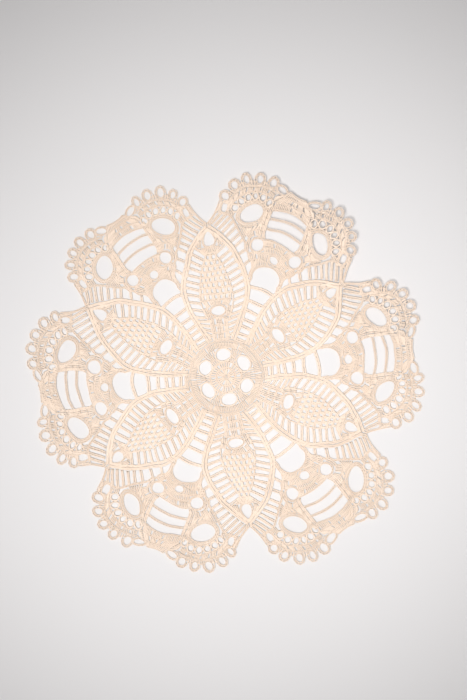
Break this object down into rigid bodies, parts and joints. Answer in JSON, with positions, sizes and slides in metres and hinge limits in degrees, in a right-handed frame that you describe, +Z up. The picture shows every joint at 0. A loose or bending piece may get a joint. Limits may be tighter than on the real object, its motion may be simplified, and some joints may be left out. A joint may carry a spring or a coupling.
{
  "type": "lace doily",
  "caption": "Round openwork table mat crocheted in cream cotton thread, with pointed petals, fan-shaped scallops and a looped edge, lying flat.",
  "frame": {"origin": "middle of the doily on its underside", "axes": "+Z up, out of the doily's upper face; +X and +Y in the plane that it lies on"},
  "size_m": [0.3184, 0.3188, 0.0091],
  "materials": {
    "cotton": "matte cream cotton thread"
  },
  "bodies": {
    "root": {"doily": "cotton"}
  },
  "joints": []
}
